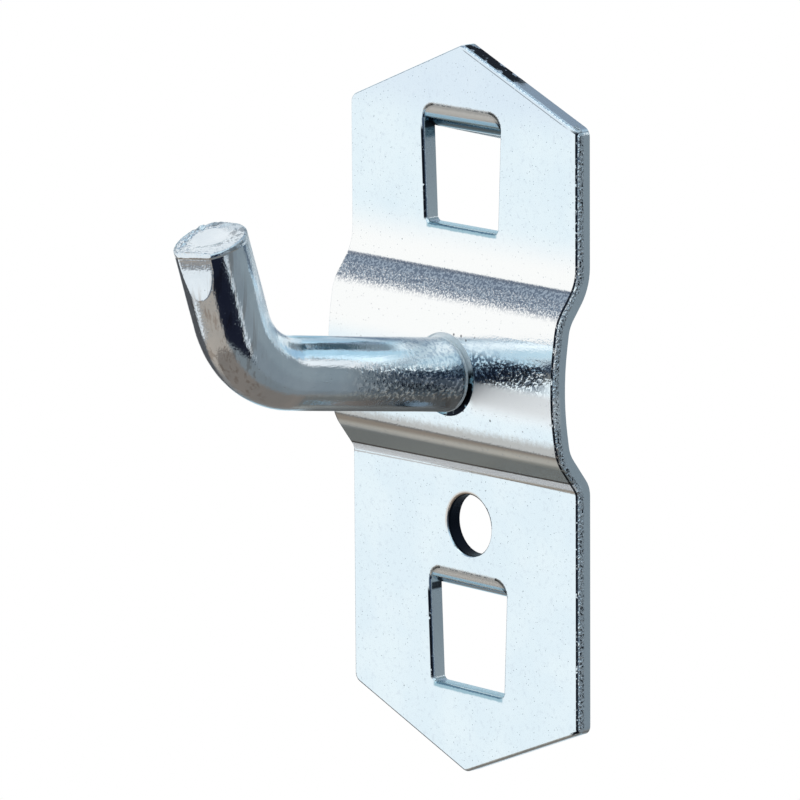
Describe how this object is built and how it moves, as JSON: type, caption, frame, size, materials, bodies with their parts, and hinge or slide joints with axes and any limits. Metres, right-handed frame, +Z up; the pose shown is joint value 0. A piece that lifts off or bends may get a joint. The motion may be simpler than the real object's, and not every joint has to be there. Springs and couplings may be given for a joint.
{
  "type": "tool hook",
  "caption": "Tool panel hook: ribbed steel back plate with lugs bent out behind it, a screw hole, and a round bar turned up at its end, in bright zinc plate.",
  "frame": {"origin": "on the panel, the plane of the plate's flat back, at the middle of the plate's width and height, between the lugs", "axes": "+Z up as the hook hangs, +Y back into the panel, so the bar points along -Y; +X to the right seen from the front"},
  "size_m": [0.0268, 0.0395, 0.0598],
  "materials": {
    "plate_zinc": "bright zinc plate",
    "rod_zinc": "bright zinc plate"
  },
  "bodies": {
    "root": {"back_plate": "plate_zinc", "hook_rod": "rod_zinc"}
  },
  "joints": []
}
